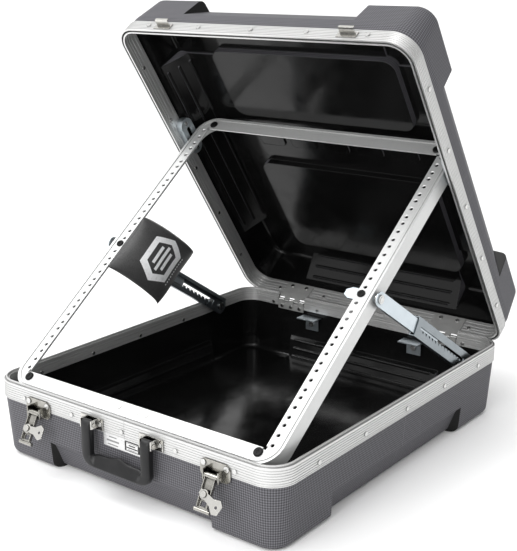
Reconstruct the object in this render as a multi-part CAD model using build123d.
"""Equipment rack case: a moulded case with aluminium rims, a hinged lid and a pop-up 12U rack frame.

Everything is modelled in case coordinates: X = 0 is the middle of the case, Y = 0 the front face of the
rims (+Y to the rear), Z = 0 the plane where the rims of the base and the lid meet. The lid is modelled
closed and the rack frame flat, and both are then turned about their hinges. At the end the whole case is
moved so that the origin is at the bottom centre of its bounding box.
"""
import os
from math import atan2, cos, degrees, hypot, radians, sin

from build123d import *

os.makedirs("parts", exist_ok=True)

# ---- driving dimensions, millimetres and degrees ----
CASE_W, CASE_D = 542.5, 623.5        # over the rims
CORNER_R = 38.0                      # outside corner radius of the rims
BASE_DEPTH, LID_DEPTH = 121.0, 98.0  # mating plane to the bumpers
BASE_FLOOR, LID_TOP = -116.0, 94.0   # outer faces between the bumpers
WALL = 4.0
SHELL_INSET = 2.0                    # outside of the shell to outside of the rim
BASE_RECESS = (158.0, 185.0, 0.42)   # half lengths along X and Y between the bumpers, and the ends' slope
LID_RECESS = (158.0, 195.0, 0.10)

BASE_RIM_H, LID_RIM_H = 26.6, 22.0   # outer legs of the rim extrusions
BASE_LEG_H, LID_LEG_H = 22.0, 30.0   # inner legs
RIM_T = 8.0                          # over both legs
LEG_T = 2.0

LID_ANGLE = 55.8                     # lid opening as modelled
HINGE_Y, HINGE_Z = CASE_D - 4.0, -11.15
HINGE_X, HINGE_HALF = 160.0, 29.0

RACK_UNIT, RACK_UNITS = 44.45, 12
RACK_HOLE_X = 465.1 / 2
RACK_HOLE_STEPS = (6.35, 22.225, 38.1)
OPENING_X, OPENING_LEN = 225.0, 532.0
FRAME_BORDER = 25.0                  # flange width on the rails
FRAME_END = 27.0                     # flange width on the front and rear members
FRAME_WEB = 24.0
FRAME_T = 2.0
FRAME_R = 35.0
FRAME_ANGLE = 37.08                  # frame raised as modelled
FRAME_Y, FRAME_Z = 33.24, 10.34      # opening's front edge, top face, with the frame raised
TILT_S, TILT_N = -30.0, -13.0        # tilt hinge axis in frame coordinates

STRUT_U_S, STRUT_U_N = 264.2, -10.0  # strut's upper pivot in frame coordinates
STRUT_L_Y, STRUT_L_Z = 525.0, -15.0  # strut's lower pivot in case coordinates
STRUT_OUTER_LEN, STRUT_INNER_LEN = 206.0, 200.0
STRUT_H, STRUT_INNER_H = 30.0, 22.0
STRUT_T = 1.5
STRUT_X = 251.4                      # inner side of the outer channel
STRUT_W = 9.0

LATCH_X, LATCH_PIN_Y, LATCH_PIN_Z = 170.0, -8.0, -30.0
LATCH_HANG = 27.0                    # arm stands out from vertical
HANDLE_X, HANDLE_PIN_Y, HANDLE_PIN_Z = 57.0, -9.0, -16.0
HANDLE_HALF, HANDLE_DROP = 65.5, 62.0

MID_Y = 334.1                        # bounding box centre from the rims' front face
ORIGIN_SHIFT = Pos(0, -MID_Y, BASE_DEPTH)


# ---- small helpers ----
def block(x, y, z):
    """Box between the given (low, high) pairs."""
    return Pos(sum(x) / 2, sum(y) / 2, sum(z) / 2) * Box(x[1] - x[0], y[1] - y[0], z[1] - z[0])


def rod_x(radius, x, y, z):
    """Cylinder along X between x[0] and x[1]."""
    return Pos(sum(x) / 2, y, z) * Rot(0, 90, 0) * Cylinder(radius, x[1] - x[0])


def rod_y(radius, x, y, z):
    """Cylinder along Y between y[0] and y[1]."""
    return Pos(x, sum(y) / 2, z) * Rot(90, 0, 0) * Cylinder(radius, y[1] - y[0])


def rod_z(radius, x, y, z):
    """Cylinder along Z between z[0] and z[1]."""
    return Pos(x, y, sum(z) / 2) * Cylinder(radius, z[1] - z[0])


def outline(inset):
    """Case plan outline, moved in by inset."""
    return RectangleRounded(CASE_W - 2 * inset, CASE_D - 2 * inset, CORNER_R - inset)


def slab(inset, z):
    return Pos(0, CASE_D / 2, z[0]) * extrude(outline(inset), z[1] - z[0])


def ring(inset, z):
    """Straight ring between two insets."""
    return slab(inset[0], z) - slab(inset[1], z)


def drafted(inset, z):
    """Drafted block: inset[0] at height z[0] and inset[1] at height z[1]."""
    low = Pos(0, CASE_D / 2, z[0]) * outline(inset[0])
    high = Pos(0, CASE_D / 2, z[1]) * outline(inset[1])
    return loft([low, high])


def pairs(make):
    """Left and right copies of what make(side) builds."""
    return [make(-1), make(1)]


def group(solids):
    return Compound(children=[item for item in solids])


def save(name, shape):
    """Write one node; shape is already in case coordinates."""
    moved = ORIGIN_SHIFT * shape
    moved.label = name
    export_step(moved, f"parts/{name}.step")
    box = moved.bounding_box()
    BOUNDS.append((box.min, box.max))


BOUNDS = []

# ---- placements ----
HINGE_AXIS = Pos(0, HINGE_Y, HINGE_Z)
OPEN_LID = HINGE_AXIS * Rot(-LID_ANGLE, 0, 0) * HINGE_AXIS.inverse()
FRAME_PLACE = Pos(0, FRAME_Y, FRAME_Z) * Rot(FRAME_ANGLE, 0, 0)


def frame_point(s, n):
    """Case (y, z) of a point in frame coordinates, frame raised."""
    angle = radians(FRAME_ANGLE)
    return FRAME_Y + s * cos(angle) - n * sin(angle), FRAME_Z + s * sin(angle) + n * cos(angle)


STRUT_U_Y, STRUT_U_Z = frame_point(STRUT_U_S, STRUT_U_N)
STRUT_ANGLE = degrees(atan2(STRUT_U_Z - STRUT_L_Z, STRUT_L_Y - STRUT_U_Y))
STRUT_REACH = hypot(STRUT_U_Z - STRUT_L_Z, STRUT_L_Y - STRUT_U_Y)
STRUT_PLACE = Pos(0, STRUT_L_Y, STRUT_L_Z) * Rot(-STRUT_ANGLE, 0, 0)
TILT_Y, TILT_Z = frame_point(TILT_S, TILT_N)


# ---- fastener positions ----
def side_positions():
    """Middle of each rim rivet: ((x, y), direction out of the case)."""
    places = []
    for x in (-201.5, -100.0, 0.0, 100.0, 201.5):
        places.append(((x, 0.0), (0, -1)))
        places.append(((x, CASE_D), (0, 1)))
    for step in range(5):
        y = 88.0 + 112.0 * step
        places.append(((-CASE_W / 2, y), (-1, 0)))
        places.append(((CASE_W / 2, y), (1, 0)))
    return places


def rim_rods(radius, out, into, z, places):
    """Rods across the rim, from out beyond its face to into inside it."""
    rods = []
    for (x, y), (dx, dy) in places:
        if dx:
            ends = sorted((x + dx * out, x - dx * into))
            rods.append(rod_x(radius, ends, y, z))
        else:
            ends = sorted((y + dy * out, y - dy * into))
            rods.append(rod_y(radius, x, ends, z))
    return rods


def rivets(z, places):
    """Rivets through both rim legs, with a low round head on each side."""
    shanks = rim_rods(2.0, 1.2, RIM_T + 1.0, z, places)
    heads = rim_rods(3.6, 1.2, 0.0, z, places)
    tails = []
    for (x, y), (dx, dy) in places:
        inner = ((x - dx * RIM_T, y - dy * RIM_T), (-dx, -dy))
        tails += rim_rods(3.0, 1.0, 0.0, z, [inner])
    return [a + b + c for a, b, c in zip(shanks, heads, tails)]


# ---- shells ----
def recess_sides(spans):
    """For each side of the case: middle of the case to the side, half length of the recess, turn about Z."""
    half_x, half_y, _ = spans
    return ((CASE_D / 2, half_x, 0), (CASE_D / 2, half_x, 180),
            (CASE_W / 2, half_y, 90), (CASE_W / 2, half_y, 270))


def beyond(a, b, length):
    """Point on the line from a to b, past b by length."""
    reach = hypot(b[0] - a[0], b[1] - a[1])
    return b[0] + (b[0] - a[0]) * length / reach, b[1] + (b[1] - a[1]) * length / reach


def recess(profile, spans, t, sign):
    """What is taken off between the bumpers; t thickens it for the inside of the wall.

    profile is the recess's section as (inset, z), from its start on the wall to the flat.
    sign is +1 for the lid and -1 for the base.
    """
    section = [beyond(profile[1], profile[0], 14.0), *profile, beyond(profile[-2], profile[-1], 30.0)]
    section += [(-40.0, section[-1][1]), (-40.0, section[0][1])]
    half_x, half_y, slope = spans
    cuts = None
    for reach, half, turn in recess_sides(spans):
        points = [(u - reach, z) for u, z in section][::sign]
        face = Polygon(*points, align=None)
        if t:
            face = offset(face, t, kind=Kind.INTERSECTION)
        wedge = extrude(Plane.YZ * face, half + 40, both=True)
        wide = half + t * hypot(1.0, slope) + 20 * slope
        narrow = wide - 80 * slope
        plan = Polygon((-wide, -reach - 20), (wide, -reach - 20), (narrow, -reach + 60),
                       (-narrow, -reach + 60), align=None)
        piece = Rot(0, 0, turn) * (wedge & Pos(0, 0, -200) * extrude(plan, 400))
        cuts = piece if cuts is None else cuts + piece
    inset, flat_z = profile[-1]
    flat = sorted((flat_z - sign * t, flat_z + sign * 30))
    inner_x, inner_y = half_x - slope * inset + t, half_y - slope * inset + t
    cuts += block((-inner_x, inner_x), (-400, 400), flat)
    cuts += block((-400, 400), (-inner_y, inner_y), flat)
    return Pos(0, CASE_D / 2, 0) * cuts


def ribs(centres, spans):
    """Round-ended ridges along the inside of every recess; centres are (inset, z)."""
    bars = []
    for reach, half, turn in recess_sides(spans):
        for inset, z in centres:
            y, length = inset - reach, half - RIB_END
            bar = rod_x(RIB_R, (-length, length), y, z)
            bar += Pos(-length, y, z) * Sphere(RIB_R)
            bar += Pos(length, y, z) * Sphere(RIB_R)
            bars.append(Pos(0, CASE_D / 2, 0) * Rot(0, 0, turn) * bar)
    return bars


BASE_PROFILE = ((3.0, -75.0), (13.0, -84.0), (24.0, BASE_FLOOR))
LID_PROFILE = ((5.0, 50.0), (33.0, LID_TOP))
BASE_RIBS = ((16.2, -82.0), (21.2, -96.5), (26.2, -110.5))
LID_RIBS = ((11.0, 52.0), (22.4, 69.5), (34.0, 87.5))
RIB_R, RIB_END = 2.4, 14.0
BASE_DRAFT, LID_DRAFT = 7.0, 9.0     # extra inset at the bumpers
BASE_STRAIGHT, LID_STRAIGHT = 27.0, 37.0  # the walls are upright where the rims hold them
CHANNEL = 2.5                        # shell edge below the top of the rim


def base_shell():
    outer = drafted((SHELL_INSET + BASE_DRAFT, SHELL_INSET), (-BASE_DEPTH, -BASE_STRAIGHT))
    outer = fillet(outer.faces().sort_by(Axis.Z)[0].edges(), 12.0)
    outer += slab(SHELL_INSET, (-BASE_STRAIGHT, -CHANNEL))
    inner_inset = SHELL_INSET + WALL
    inner = drafted((inner_inset + BASE_DRAFT, inner_inset), (-BASE_DEPTH + WALL, -BASE_STRAIGHT))
    inner = fillet(inner.faces().sort_by(Axis.Z)[0].edges(), 8.0)
    inner += slab(inner_inset, (-BASE_STRAIGHT, 5.0))
    outer -= recess(BASE_PROFILE, BASE_RECESS, 0.0, -1)
    inner -= recess(BASE_PROFILE, BASE_RECESS, WALL, -1)
    for rib in ribs(BASE_RIBS, BASE_RECESS):
        inner -= rib
    shell = outer - inner
    for hole in rim_rods(2.0, 5.0, 12.0, -17.0, side_positions()):
        shell -= hole
    for notch in hinge_notches():
        shell -= notch
    return shell


PANEL_SUNK = 11.0                    # the two large panels of the lid's top are pressed inwards


def lid_shell():
    outer = drafted((SHELL_INSET, SHELL_INSET + LID_DRAFT), (LID_STRAIGHT, LID_DEPTH))
    outer = fillet(outer.faces().sort_by(Axis.Z)[-1].edges(), 12.0)
    outer += slab(SHELL_INSET, (7.0, LID_STRAIGHT))
    inner = drafted((SHELL_INSET + WALL, SHELL_INSET + LID_DRAFT + WALL), (LID_STRAIGHT, LID_DEPTH - WALL))
    inner = fillet(inner.faces().sort_by(Axis.Z)[-1].edges(), 8.0)
    inner += slab(SHELL_INSET + WALL, (0.0, LID_STRAIGHT))
    outer -= recess(LID_PROFILE, LID_RECESS, 0.0, 1)
    inner -= recess(LID_PROFILE, LID_RECESS, WALL, 1)
    for rib in ribs(LID_RIBS, LID_RECESS):
        inner -= rib
    for panel_y, half_len in ((167.5, 67.5), (450.0, 105.0)):
        sunk = Pos(0, panel_y, LID_TOP - PANEL_SUNK)
        outer -= sunk * extrude(RectangleRounded(342, 2 * half_len - 8, 16), 30)
        inner -= sunk * Pos(0, 0, -WALL) * extrude(RectangleRounded(350, 2 * half_len, 20), 30)
    for x in (-132.0, -66.0, 0.0, 66.0, 132.0):
        inner -= Pos(x, 290.0, LID_TOP - WALL - 2.5) * extrude(RectangleRounded(52, 34, 8), 10)
    shell = outer - inner
    for hole in rim_rods(2.0, 5.0, 12.0, 12.0, side_positions()):
        shell -= hole
    return shell


# ---- rims ----
def hinge_notches():
    return [block((x - HINGE_HALF - 1.5, x + HINGE_HALF + 1.5), (CASE_D - 12, CASE_D + 2), (-16.5, 6))
            for x in (-HINGE_X, HINGE_X)]


def flutes(z_values, insets):
    """Shallow grooves round a leg of the rim."""
    cuts = None
    for z in z_values:
        groove = ring(insets, (z - FLUTE_W / 2, z + FLUTE_W / 2))
        cuts = groove if cuts is None else cuts + groove
    return cuts


FLUTE_W, FLUTE_DEPTH = 1.6, 0.7
OUTER_LEG = (-1.0, FLUTE_DEPTH)
INNER_LEG = (RIM_T - FLUTE_DEPTH, RIM_T + 1.0)


def base_rim():
    rim = ring((0, LEG_T), (-BASE_RIM_H, 0)) + ring((0, RIM_T), (-CHANNEL, 0))
    rim += ring((RIM_T - LEG_T, RIM_T), (-BASE_LEG_H, 0)) + ring((3.0, 5.0), (-1.0, 3.0))
    rim -= ring((1.4, 2.8), (-1.3, 1.0)) + ring((5.4, 6.8), (-1.3, 1.0))
    rim -= flutes((-3.6, -7.2, -10.8, -14.4, -18.0, -21.6, -24.6), OUTER_LEG)
    rim -= flutes((-5.5, -9.5, -17.0), INNER_LEG)
    for hole in rim_rods(2.0, 5.0, 12.0, -17.0, side_positions()):
        rim -= hole
    for notch in hinge_notches():
        rim -= notch
    return rim - block((4.75, 5.25), (-2, 12), (-40, 10))


def lid_rim():
    rim = ring((0, LEG_T), (0, LID_RIM_H)) + ring((0, RIM_T), (0, 7.0))
    rim += ring((RIM_T - LEG_T, RIM_T), (0, LID_LEG_H))
    rim -= ring((2.5, 5.5), (-1.0, 4.5))
    rim -= flutes((3.0, 6.4, 9.8, 13.2, 16.6, 19.8), OUTER_LEG)
    rim -= flutes((6.0, 11.0, 17.0, 24.0), INNER_LEG)
    for hole in rim_rods(2.0, 5.0, 12.0, 12.0, side_positions()):
        rim -= hole
    return rim - block((4.75, 5.25), (-2, 12), (-5, 40))


def splice_plate(z):
    """Plate behind the butt joint of a rim, on the inner leg."""
    plate = block((-35, 45), (RIM_T, RIM_T + 2.0), z)
    return plate - rod_y(3.3, 0.0, (0, 20), -17.0) - rod_y(3.3, 0.0, (0, 20), 12.0)


# ---- lid hinges ----
def knuckles(x, parts_of, radius, hole):
    """Hinge knuckles on the lid axis; the hinge is cut into five, parts_of picks which."""
    length = 2 * HINGE_HALF / 5
    out = None
    for index in parts_of:
        low = x - HINGE_HALF + index * length + 0.2
        piece = rod_x(radius, (low, low + length - 0.4), HINGE_Y, HINGE_Z)
        arm = block((low, low + length - 0.4), (HINGE_Y - 5.5, HINGE_Y - 1.0), (HINGE_Z - 1.9, HINGE_Z + 1.9))
        piece += arm
        out = piece if out is None else out + piece
    return out - rod_x(hole, (x - 40, x + 40), HINGE_Y, HINGE_Z)


def hinge_base_leaf(x):
    leaf = block((x - HINGE_HALF, x + HINGE_HALF), (HINGE_Y - 5.5, HINGE_Y - 4.0), (-27.0, HINGE_Z - 4.2))
    leaf += knuckles(x, (0, 2, 4), 3.9, 1.75)
    for index in (0, 2, 4):
        low = x - HINGE_HALF + index * 2 * HINGE_HALF / 5 + 0.2
        leaf += block((low, low + 11.2), (HINGE_Y - 5.5, HINGE_Y - 4.0), (HINGE_Z - 5.0, HINGE_Z + 1.0))
    return leaf - rod_x(1.75, (x - 40, x + 40), HINGE_Y, HINGE_Z)


def hinge_lid_leaf(x):
    leaf = block((x - HINGE_HALF, x + HINGE_HALF), (HINGE_Y - 5.5, HINGE_Y - 4.0), (HINGE_Z + 4.2, 29.0))
    leaf += knuckles(x, (1, 3), 3.9, 1.80)
    for index in (1, 3):
        low = x - HINGE_HALF + index * 2 * HINGE_HALF / 5 + 0.2
        leaf += block((low, low + 11.2), (HINGE_Y - 5.5, HINGE_Y - 4.0), (HINGE_Z - 1.0, HINGE_Z + 5.0))
    return leaf - rod_x(1.80, (x - 40, x + 40), HINGE_Y, HINGE_Z)


def leaf_rivets(x, offsets, z):
    """Rivets holding a leaf, heads on the inside of the case."""
    return [rod_y(3.4, x + dx, (HINGE_Y - 6.9, HINGE_Y - 5.5), z) for dx in offsets]


# ---- frame rests ----
REST_X = 109.0
REST_Z = -29.5


def frame_rest(x):
    """Angle bracket on the rear wall that the folded frame sits on."""
    top = block((x - 20, x + 20), (590.0, 614.5), (REST_Z - 2.0, REST_Z))
    plate = block((x - 14, x + 14), (612.5, 614.5), (REST_Z - 27.0, REST_Z))
    return top + plate - rod_y(2.5, x, (600, 620), REST_Z - 14.0)


def rest_screw(x):
    return rod_y(2.45, x, (611.0, 614.5), REST_Z - 14.0) + rod_y(5.0, x, (609.6, 612.5), REST_Z - 14.0)


# ---- rack frame, in frame coordinates: Y is s along the rails, Z is n above the top face ----
FRAME_X = OPENING_X + FRAME_BORDER
FRAME_S = (-FRAME_END + 1.0, OPENING_LEN + FRAME_END)
FRAME_MID = sum(FRAME_S) / 2


def frame_slab(inset, z):
    size = (2 * FRAME_X - 2 * inset, FRAME_S[1] - FRAME_S[0] - 2 * inset)
    return Pos(0, FRAME_MID, z[0]) * extrude(RectangleRounded(*size, FRAME_R - inset), z[1] - z[0])


def rack_holes():
    """Countersunk screw holes on the rails."""
    holes = []
    for side in (-1, 1):
        for index in range(3 * RACK_UNITS):
            s = RACK_UNIT * (index // 3) + RACK_HOLE_STEPS[index % 3]
            hole = rod_z(2.5, side * RACK_HOLE_X, s, (-4, 1))
            holes.append(hole + Pos(side * RACK_HOLE_X, s, -0.4) * Cone(2.5, 3.7, 1.2))
    return holes


def rack_frame():
    frame = frame_slab(0, (-FRAME_WEB, 0)) - frame_slab(FRAME_T, (-FRAME_WEB - 1, -FRAME_T))
    frame -= block((-OPENING_X, OPENING_X), (0, OPENING_LEN), (-5, 5))
    frame += frame_slab(4, (-0.5, 1.2)) - frame_slab(6, (-1, 2))
    for side in (-1, 1):
        for s in (0.0, OPENING_LEN):
            frame -= Pos(side * OPENING_X, s, -3) * Box(6, 6, 12)
    for x, s in CORNER_SCREWS:
        frame -= rod_z(2.6, x, s, (-4, 2))
    for hole in rack_holes():
        frame -= hole
    for x in SPLICE_X:
        frame -= rod_z(1.9, x, SPLICE_S, (-4, 2))
    return frame


CORNER_SCREW_X = 219.0
CORNER_SCREWS = [(side * CORNER_SCREW_X, s) for side in (-1, 1) for s in (-8.5, 542.0)]
SPLICE_X, SPLICE_S = (-28.7, -11.7, 6.9, 23.5), -9.0
TAB_S = 260.35                       # the middle screw, in the eighteenth hole
TAB_SCREWS = [(side * RACK_HOLE_X, TAB_S) for side in (-1, 1)]


def corner_bracket(x, s):
    """Angle plate under each corner of the flange."""
    side = 1 if x > 0 else -1
    inward = 1 if s < 100 else -1
    plate = block(sorted((x - side * 34, x + side * 22)), sorted((s - inward * 9, s + inward * 7)),
                  (-FRAME_T - 2.0, -FRAME_T))
    plate += block(sorted((OPENING_X * side + side * 1, OPENING_X * side + side * 19)),
                   sorted((s - inward * 9, s + inward * 12)), (-FRAME_T - 2.0, -FRAME_T))
    plate &= frame_slab(FRAME_T + 0.3, (-FRAME_T - 2.0, -FRAME_T))
    return plate - rod_z(2.5, x, s, (-10, 5))


def screw(x, s, head_r, head_h, depth):
    """Round-head screw from the top face down to depth."""
    head = rod_z(head_r, x, s, (0, head_h))
    head = fillet(head.edges().sort_by(Axis.Z)[-1], head_h * 0.6)
    body = head + rod_z(2.45, x, s, (-depth, 0.5))
    return body - Pos(x, s, head_h) * Box(1.2, 6.0, 1.4) - Pos(x, s, head_h) * Box(6.0, 1.2, 1.4)


def strut_tab(side):
    """Hexagonal-ended plate clamped under the rail, where the strut's stud is fixed."""
    plate = block(sorted((side * 214.0, side * 247.9)), (TAB_S - 9.5, TAB_S + 9.5), (-4.0, -2.0))
    tip = Polygon((side * 214.1, TAB_S - 9.5), (side * 205.5, TAB_S - 4.5), (side * 205.5, TAB_S + 4.5),
                  (side * 214.1, TAB_S + 9.5), align=None)
    plate += Pos(0, 0, -4.0) * extrude(tip, 2.0, dir=(0, 0, 1))
    plate += block(sorted((side * 246.0, side * 247.9)), (TAB_S - 9.5, TAB_S + 9.5), (-20.0, -2.0))
    return plate - rod_z(2.5, side * RACK_HOLE_X, TAB_S, (-10, 5))


def strut_stud(side):
    """Boss on the rail's web; it stops short of the strut's eye, which is coupled, not pinned."""
    return rod_x(6.0, sorted((side * FRAME_X, side * (FRAME_X + 1.3))), STRUT_U_S, STRUT_U_N)


def splice_rivet(x):
    ends = rod_z(3.2, x, SPLICE_S, (0, 1.0)) + rod_z(3.0, x, SPLICE_S, (-5.5, -4.5))
    return ends + rod_z(1.85, x, SPLICE_S, (-5.5, 0.5))


def frame_splice():
    plate = block((-42, 38), (-22.0, -2.0), (-4.5, -FRAME_T))
    for x in SPLICE_X:
        plate -= rod_z(1.9, x, SPLICE_S, (-6, 0))
    return plate


# ---- tilt hinges of the rack frame ----
TILT_X, TILT_HALF = 150.0, 25.0
TILT_R, TILT_PIN_R = 3.2, 1.6


def tilt_frame_leaf(x):
    """Leaf on the front member, in frame coordinates."""
    face = FRAME_S[0]
    leaf = block((x - TILT_HALF, x + TILT_HALF), (face - 1.5, face), (-21.0, -6.0))
    leaf -= rod_x(TILT_R + 0.5, (x - 17.0, x + 17.0), TILT_S, TILT_N)
    barrel = rod_x(TILT_R, (x - 8.0, x + 8.0), TILT_S, TILT_N)
    barrel += block((x - 8.0, x + 8.0), (TILT_S, face), (TILT_N - 2.0, TILT_N + 2.0))
    barrel += block((x - 8.0, x + 8.0), (face - 1.5, face), (TILT_N - 5.0, TILT_N + 5.0))
    return leaf + barrel - rod_x(TILT_PIN_R + 0.05, (x - 40, x + 40), TILT_S, TILT_N)


def tilt_base_leaf(x):
    """Leaf on the inside of the base rim, in case coordinates."""
    leaf = block((x - TILT_HALF, x + TILT_HALF), (RIM_T, RIM_T + 1.8), (-22.0, -7.0))
    for low in (x - 16.3, x + 8.3):
        span = (low, low + 8.0)
        leaf += rod_x(TILT_R, span, TILT_Y, TILT_Z)
        leaf += block(span, (RIM_T + 1.0, TILT_Y), (TILT_Z - TILT_R, TILT_Z - 1.0))
    return leaf - rod_x(TILT_PIN_R, (x - 40, x + 40), TILT_Y, TILT_Z)


def tilt_pin(x):
    return rod_x(TILT_PIN_R, (x - 16.8, x + 16.8), TILT_Y, TILT_Z)


def tilt_rivets(x):
    return [rod_y(3.0, x + dx, (RIM_T + 1.8, RIM_T + 3.0), -14.5) for dx in (-20.6, 20.6)]


# ---- struts: t runs from the lower pivot towards the upper one, which is along -Y before the turn ----
def strut_x(side, near, far):
    """X span measured out from the inner side of the outer channel."""
    return tuple(sorted((side * (STRUT_X + near), side * (STRUT_X + far))))


def channel(side, near, far, t, height, lip):
    """Channel open towards the frame, with lips along the open side."""
    y = (-t[1], -t[0])
    half = height / 2
    body = block(strut_x(side, far - STRUT_T, far), y, (-half, half))
    for z in (-1, 1):
        body += block(strut_x(side, near, far), y, sorted((z * half, z * (half - STRUT_T))))
        if lip:
            body += block(strut_x(side, near, near + STRUT_T), y, sorted((z * half, z * (half - lip))))
    return body


def strut_outer(side):
    body = channel(side, 0.0, STRUT_W, (0.0, STRUT_OUTER_LEN), STRUT_H, 6.0)
    web = strut_x(side, STRUT_W - STRUT_T, STRUT_W)
    body += rod_x(STRUT_H / 2, web, 0.0, 0.0)
    body -= rod_x(4.05, strut_x(side, -5, 20), 0.0, 0.0)
    slot_y = (-STRUT_OUTER_LEN + 12.0, -24.0)
    body -= block(strut_x(side, STRUT_W - 4, STRUT_W + 4), slot_y, (-1.0, 3.0))
    for step in range(14):
        y = slot_y[0] + 6.0 + step * 12.0
        tooth = Plane.YZ * Polygon((y, -1.2), (y + 7.0, -1.2), (y + 7.0, -5.5), align=None)
        tooth = Pos(side * (STRUT_X + STRUT_W), 0, 0) * extrude(tooth, 5.0, both=True)
        body -= tooth
    return body


def strut_inner(side):
    near, far = 1.9, STRUT_W - STRUT_T - 0.4
    tail = STRUT_REACH - STRUT_INNER_LEN
    body = channel(side, near, far, (tail, STRUT_REACH - 16.0), STRUT_INNER_H, 0.0)
    web = strut_x(side, far - STRUT_T, far)
    body += block(web, (-STRUT_REACH, -STRUT_REACH + 18.0), (-STRUT_INNER_H / 2, STRUT_INNER_H / 2))
    body += rod_x(STRUT_INNER_H / 2, web, -STRUT_REACH, 0.0)
    return body - rod_x(4.0, strut_x(side, -5, 20), -STRUT_REACH, 0.0)


def strut_eye_rivet(side):
    """Shoulder rivet in the inner channel's eye."""
    shoulder = rod_x(3.95, strut_x(side, 1.0, 9.6), -STRUT_REACH, 0.0)
    shoulder += rod_x(6.5, strut_x(side, STRUT_W - STRUT_T - 0.35, 9.2), -STRUT_REACH, 0.0)
    return shoulder + rod_x(6.5, strut_x(side, 0.9, STRUT_W - 2 * STRUT_T - 0.45), -STRUT_REACH, 0.0)


def strut_pawl(side):
    """Spring pawl on the inner channel's tail that drops into the ratchet teeth."""
    tail = STRUT_REACH - STRUT_INNER_LEN
    y = (-tail - 34.0, -tail - 2.0)
    return block(strut_x(side, 3.2, STRUT_W - 2 * STRUT_T - 0.4), y, (-4.5, 4.5))


def strut_lower_pivot(side):
    """Shouldered stud from the base rim's inner leg, in case coordinates."""
    wall = CASE_W / 2 - RIM_T
    flange = rod_x(7.0, sorted((side * (STRUT_X + STRUT_W + 0.4), side * wall)), STRUT_L_Y, STRUT_L_Z)
    pin = rod_x(4.0, strut_x(side, STRUT_W - STRUT_T - 1.9, STRUT_W + 1), STRUT_L_Y, STRUT_L_Z)
    head = rod_x(7.0, strut_x(side, STRUT_W - STRUT_T - 2.0, STRUT_W - STRUT_T - 0.4), STRUT_L_Y, STRUT_L_Z)
    return flange + pin + head


# ---- lid catch brackets: pressed cups riveted inside the lid, near the rim ----
CATCH_Y, CATCH_Z = (212.0, 284.0), 28.5


def catch_bracket(side):
    """Stadium-shaped dished bracket with a long slot, standing on the lid wall's rim leg."""
    wall = CASE_W / 2 - RIM_T
    middle, length = sum(CATCH_Y) / 2, CATCH_Y[1] - CATCH_Y[0]
    face = Plane.YZ * Pos(middle, CATCH_Z) * SlotOverall(length, 28.0)
    hollow = Plane.YZ * Pos(middle, CATCH_Z) * SlotOverall(length - 4.0, 24.0)
    slot = Plane.YZ * Pos(middle, CATCH_Z) * SlotOverall(length - 34.0, 8.0)
    cup = extrude(face, side * 12.0) - Pos(side * 2.0, 0, 0) * extrude(hollow, side * 12.0)
    cup -= Pos(-side * 2.0, 0, 0) * extrude(slot, side * 6.0)
    return Pos(side * (wall - 12.0), 0, 0) * cup


def catch_rivets(side):
    """Rivet heads on the bracket's face."""
    face = side * (CASE_W / 2 - RIM_T - 12.0)
    head = sorted((face - side * 1.2, face))
    return [rod_x(3.4, head, y, CATCH_Z) for y in (CATCH_Y[0] + 9, CATCH_Y[1] - 9)]


# ---- latches ----
WING_AT = 24.0                       # wing pivot from the arm's pin
WING_TURN = {"left": 0.0, "right": 24.0}
ARM_LEN = 45.0


def latch_plate(x):
    plate = RectangleRounded(51, 27, 9)
    plate = Pos(x, 0, -24.5) * Rot(90, 0, 0) * extrude(plate, 1.5)
    for side in (-1, 1):
        ear = block(sorted((x + side * 12.0, x + side * 13.8)), (-11.5, -1.0), (-36.5, -21.0))
        plate += ear
        plate -= rod_y(2.0, x + side * 19.5, (-5, 5), -17.0)
    return plate - rod_x(2.0, (x - 20, x + 20), LATCH_PIN_Y, LATCH_PIN_Z)


def latch_plate_rivets(x):
    """Two rivets through the plate, over the rim."""
    return [rod_y(4.2, x + side * 19.5, (-2.9, -1.5), -17.0) + rod_y(2.0, x + side * 19.5, (-2.0, 0.0), -17.0)
            for side in (-1, 1)]


def latch_pin(x):
    return rod_x(2.0, (x - 14.4, x + 14.4), LATCH_PIN_Y, LATCH_PIN_Z)


def latch_arm():
    """Arm hanging straight down from its pin, outer side towards -Y."""
    arm = rod_x(4.0, (-11.0, 11.0), 0, 0) + block((-9, 9), (-1.25, 1.25), (-ARM_LEN, 0))
    for side in (-1, 1):
        arm += block(sorted((side * 7.6, side * 9.0)), (-4.0, 1.25), (-ARM_LEN + 4, -3.0))
    arm += rod_x(2.6, (-13.0, 13.0), 0, -ARM_LEN)
    arm -= block((-4.5, 4.5), (-5, 5), (-ARM_LEN + 5.0, -ARM_LEN + 12.0))
    return arm - rod_x(2.05, (-20, 20), 0, 0)


def wing_stud():
    """Stud on the arm that carries the wing."""
    return rod_y(2.45, 0, (-7.4, -1.25), -WING_AT) + rod_y(4.2, 0, (-8.4, -6.9), -WING_AT) \
        + rod_y(4.2, 0, (-4.2, -1.25), -WING_AT)


def latch_wing(turn):
    """Butterfly wing with a long fish-tail blade and a short tail, turned down by turn degrees."""
    blade = Polygon((-8, 3.5), (4, 4.5), (16, 5.5), (26, 11), (33, 7), (33, -7),
                    (26, -11), (16, -5.5), (4, -4.5), (-8, -3.5), align=None)
    plate = Rot(90, 0, 0) * extrude(blade, 1.8, dir=(0, 0, 1))
    plate = Pos(0, -4.5, 0) * plate
    plate += rod_y(6.5, 0, (-6.3, -4.5), 0)
    plate -= rod_y(2.2, 26.0, (-10, 0), 0)
    plate -= rod_y(2.50, 0, (-10, 0), 0)
    return Pos(0, 0, -WING_AT) * Rot(0, turn, 0) * plate


def arm_place(x):
    return Pos(x, LATCH_PIN_Y, LATCH_PIN_Z) * Rot(-LATCH_HANG, 0, 0)


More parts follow.
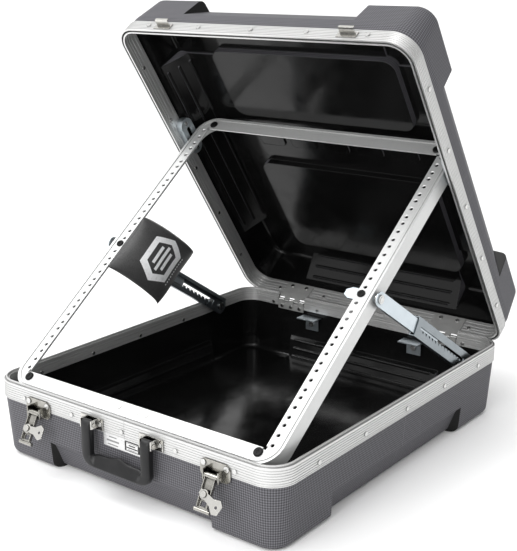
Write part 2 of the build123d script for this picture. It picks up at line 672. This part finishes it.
def keeper(x):
    """Hook on the lid rim for the latch's T bar, lid closed."""
    plate = block((x - 16, x + 16), (-1.2, 0), (4.0, 16.0))
    hook = block((x - 12.5, x + 12.5), (-11.5, 0), (11.0, 12.4))
    lip = block((x - 12.5, x + 12.5), (-11.5, -10.2), (11.0, 15.5))
    return plate + hook + lip


# ---- handle ----
GRIP_H, LEG_W = 22.0, 17.0
EAR = (9.4, 11.2)                    # bracket's ears, out from the leg's middle


def handle_bracket(x):
    """Saddle with two ears that carries one end of the handle."""
    plate = block((x - 22, x + 22), (-1.5, 0), (-25.0, -8.0))
    for side in (-1, 1):
        plate += block(sorted((x + side * EAR[0], x + side * EAR[1])), (-13.5, 0), (-22.0, -9.5))
        plate -= rod_y(2.0, x + side * 17.0, (-5, 5), HANDLE_PIN_Z)
    return plate - rod_x(2.5, (x - 20, x + 20), HANDLE_PIN_Y, HANDLE_PIN_Z)


def handle_bracket_rivets(x):
    """Rivets either side of the ears."""
    out = []
    for side in (-1, 1):
        head = rod_y(3.2, x + side * 17.0, (-2.7, -1.5), HANDLE_PIN_Z)
        out.append(head + rod_y(1.95, x + side * 17.0, (-2.0, 0), HANDLE_PIN_Z))
    return out


def handle_pin(x):
    return rod_x(2.5, (x - 12.2, x + 12.2), HANDLE_PIN_Y, HANDLE_PIN_Z)


def handle():
    """Moulded bail: two legs, and a grip with a sloped face and two finger hollows on its upper edge."""
    low = HANDLE_PIN_Z - HANDLE_DROP
    body = block((-HANDLE_HALF, HANDLE_HALF), (-17.0, -3.0), (low, low + GRIP_H))
    body = fillet(body.edges().filter_by(Axis.Y).group_by(Axis.Z)[0], 18.0)
    inner = HANDLE_HALF - LEG_W
    for side in (-1, 1):
        span = sorted((side * inner, side * HANDLE_HALF))
        body += block(span, (-17.0, -4.0), (low + GRIP_H - 2.0, HANDLE_PIN_Z))
        body += rod_x(7.5, span, HANDLE_PIN_Y, HANDLE_PIN_Z)
        body -= rod_x(2.56, sorted((side * 40.0, side * 80.0)), HANDLE_PIN_Y, HANDLE_PIN_Z)
        body -= rod_y(30.0, side * inner / 2, (-30, 10), low + GRIP_H + 25.5)
    face = Plane.YZ * Polygon((-20, low + 5), (-16, low + 5), (-9, low + 24), (-20, low + 24), align=None)
    return body - extrude(face, inner, both=True)


# ---- nameplate and flap ----
def nameplate():
    return block((-36, 36), (0.4, 2.0), (-45.0, -26.8))


def nameplate_label():
    return block((6, 34), (-0.4, 0.4), (-42.0, -28.0))


FLAP_S = (212.0, 321.0)
FLAP_DROP = 146.0
FLAP_T = 2.4


def flap():
    """Flexible cover that hangs from the left rail over the strut."""
    top = [Vector(-222.0, *frame_point(s, -5.0)) for s in FLAP_S]
    angle = radians(-STRUT_ANGLE - 2.5)
    drop = Vector(16.0, FLAP_DROP * cos(angle), FLAP_DROP * sin(angle))
    corners = [top[0], top[1], top[1] + drop, top[0] + drop]
    sheet = make_face(Polyline(*corners, close=True))
    return extrude(sheet, FLAP_T)


# ---- build every node ----
def build():
    save("base_shell", base_shell())
    save("base_rim", base_rim())
    save("base_rim_splice", splice_plate((-21.5, -6.0)))
    save("base_rim_rivets", group(rivets(-17.0, side_positions())))
    save("lid_shell", OPEN_LID * lid_shell())
    save("lid_rim", OPEN_LID * lid_rim())
    save("lid_rim_splice", OPEN_LID * splice_plate((9.0, 30.0)))
    save("lid_rim_rivets", OPEN_LID * group(rivets(12.0, side_positions())))
    save("lid_gasket", OPEN_LID * ring((2.6, 5.4), (3.2, 4.5)))

    save("hinge_base_leaves", group([hinge_base_leaf(x) for x in (-HINGE_X, HINGE_X)]))
    save("hinge_lid_leaves", OPEN_LID * group([hinge_lid_leaf(x) for x in (-HINGE_X, HINGE_X)]))
    hinge_pins = [rod_x(1.75, (x - HINGE_HALF - 0.6, x + HINGE_HALF + 0.6), HINGE_Y, HINGE_Z)
                  for x in (-HINGE_X, HINGE_X)]
    save("hinge_pins", group(hinge_pins))
    base_leaf_rivets = [r for x in (-HINGE_X, HINGE_X) for r in leaf_rivets(x, (-20, 0, 20), -21.0)]
    lid_leaf_rivets = [r for x in (-HINGE_X, HINGE_X) for r in leaf_rivets(x, (-16, 16), 21.0)]
    save("hinge_base_rivets", group(base_leaf_rivets))
    save("hinge_lid_rivets", OPEN_LID * group(lid_leaf_rivets))

    save("frame_rests", group([frame_rest(x) for x in (-REST_X, REST_X)]))
    save("frame_rest_screws", group([rest_screw(x) for x in (-REST_X, REST_X)]))

    save("rack_frame", FRAME_PLACE * rack_frame())
    save("frame_splice", FRAME_PLACE * frame_splice())
    save("frame_splice_rivets", FRAME_PLACE * group([splice_rivet(x) for x in SPLICE_X]))
    save("frame_corner_brackets", FRAME_PLACE * group([corner_bracket(x, s) for x, s in CORNER_SCREWS]))
    save("frame_corner_screws", FRAME_PLACE * group([screw(x, s, 6.8, 2.6, 4.0) for x, s in CORNER_SCREWS]))
    save("strut_tabs", FRAME_PLACE * group(pairs(strut_tab)))
    save("strut_tab_screws", FRAME_PLACE * group([screw(x, s, 6.0, 2.4, 6.0) for x, s in TAB_SCREWS]))
    save("strut_studs", FRAME_PLACE * group(pairs(strut_stud)))

    save("tilt_frame_leaves", FRAME_PLACE * group([tilt_frame_leaf(x) for x in (-TILT_X, TILT_X)]))
    save("tilt_base_leaves", group([tilt_base_leaf(x) for x in (-TILT_X, TILT_X)]))
    save("tilt_pins", group([tilt_pin(x) for x in (-TILT_X, TILT_X)]))
    save("tilt_rivets", group([r for x in (-TILT_X, TILT_X) for r in tilt_rivets(x)]))

    save("strut_lower_pivots", group(pairs(strut_lower_pivot)))
    for side, name in ((-1, "left"), (1, "right")):
        save(f"strut_outer_{name}", STRUT_PLACE * strut_outer(side))
        save(f"strut_inner_{name}", STRUT_PLACE * strut_inner(side))
        save(f"strut_eye_rivet_{name}", STRUT_PLACE * strut_eye_rivet(side))
        save(f"strut_pawl_{name}", STRUT_PLACE * strut_pawl(side))

    save("lid_catch_brackets", OPEN_LID * group(pairs(catch_bracket)))
    save("lid_catch_rivets", OPEN_LID * group([r for side in (-1, 1) for r in catch_rivets(side)]))

    for side, name in ((-1, "left"), (1, "right")):
        x = side * LATCH_X
        save(f"latch_arm_{name}", arm_place(x) * latch_arm())
        save(f"latch_wing_stud_{name}", arm_place(x) * wing_stud())
        save(f"latch_wing_{name}", arm_place(x) * latch_wing(WING_TURN[name]))
    save("latch_plates", group([latch_plate(x) for x in (-LATCH_X, LATCH_X)]))
    save("latch_pins", group([latch_pin(x) for x in (-LATCH_X, LATCH_X)]))
    save("latch_plate_rivets", group([r for x in (-LATCH_X, LATCH_X) for r in latch_plate_rivets(x)]))
    save("latch_keepers", OPEN_LID * group([keeper(x) for x in (-LATCH_X, LATCH_X)]))

    save("handle", handle())
    save("handle_brackets", group([handle_bracket(x) for x in (-HANDLE_X, HANDLE_X)]))
    save("handle_bracket_rivets", group([r for x in (-HANDLE_X, HANDLE_X) for r in handle_bracket_rivets(x)]))
    save("handle_pins", group([handle_pin(x) for x in (-HANDLE_X, HANDLE_X)]))
    save("nameplate", nameplate())
    save("nameplate_label", nameplate_label())
    save("flap", flap())


build()
lows, highs = zip(*BOUNDS)
print("bounds", [round(min(getattr(v, a) for v in lows), 2) for a in "XYZ"],
      [round(max(getattr(v, a) for v in highs), 2) for a in "XYZ"])
print("strut", round(STRUT_REACH, 2), round(STRUT_ANGLE, 2), "tilt hinge", round(TILT_Y, 2), round(TILT_Z, 2))
